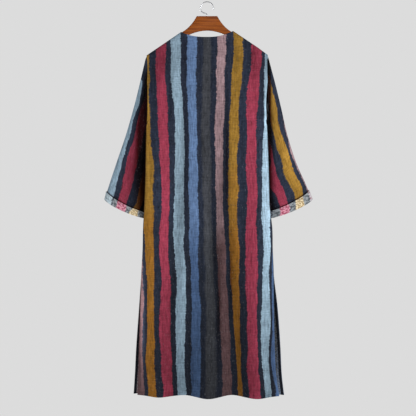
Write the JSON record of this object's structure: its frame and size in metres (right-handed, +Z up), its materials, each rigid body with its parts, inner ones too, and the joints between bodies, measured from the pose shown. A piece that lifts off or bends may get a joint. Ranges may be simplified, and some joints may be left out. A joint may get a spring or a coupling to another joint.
{
  "type": "long striped kaftan on a wooden hanger",
  "caption": "Long loose kaftan with flared sleeves, turned-up cuffs and side slits, in ragged vertical stripes, hung flat on a wooden hanger with a wire hook.",
  "frame": {"origin": "top of the inside of the hook, where it hangs from a rail", "axes": "+Z up, along the garment's length; +Y out of the garment's front; +X to the wearer's right"},
  "size_m": [0.7881, 0.1539, 1.486],
  "materials": {
    "striped_cloth": "plain-woven slubby cotton in ragged stripes of mustard, red, pale blue, blue, charcoal and mauve on navy, matt",
    "cloth_wrong_side": "pale, speckled wrong side of the striped cotton, matt",
    "turned_edge": "dark turned-in edge of the striped cotton, matt",
    "hanger_wood": "reddish-brown varnished wood with long grain, satin",
    "hook_metal": "bright plated wire, polished"
  },
  "bodies": {
    "root": {"back_panel": "striped_cloth", "front_panel": "striped_cloth", "sleeve_left": "striped_cloth", "sleeve_right": "striped_cloth", "cuff_left": "cloth_wrong_side", "cuff_right": "cloth_wrong_side", "slit_facing_left": "turned_edge", "slit_facing_right": "turned_edge", "hanger": "hanger_wood", "hanger_hook": "hook_metal"}
  },
  "joints": []
}
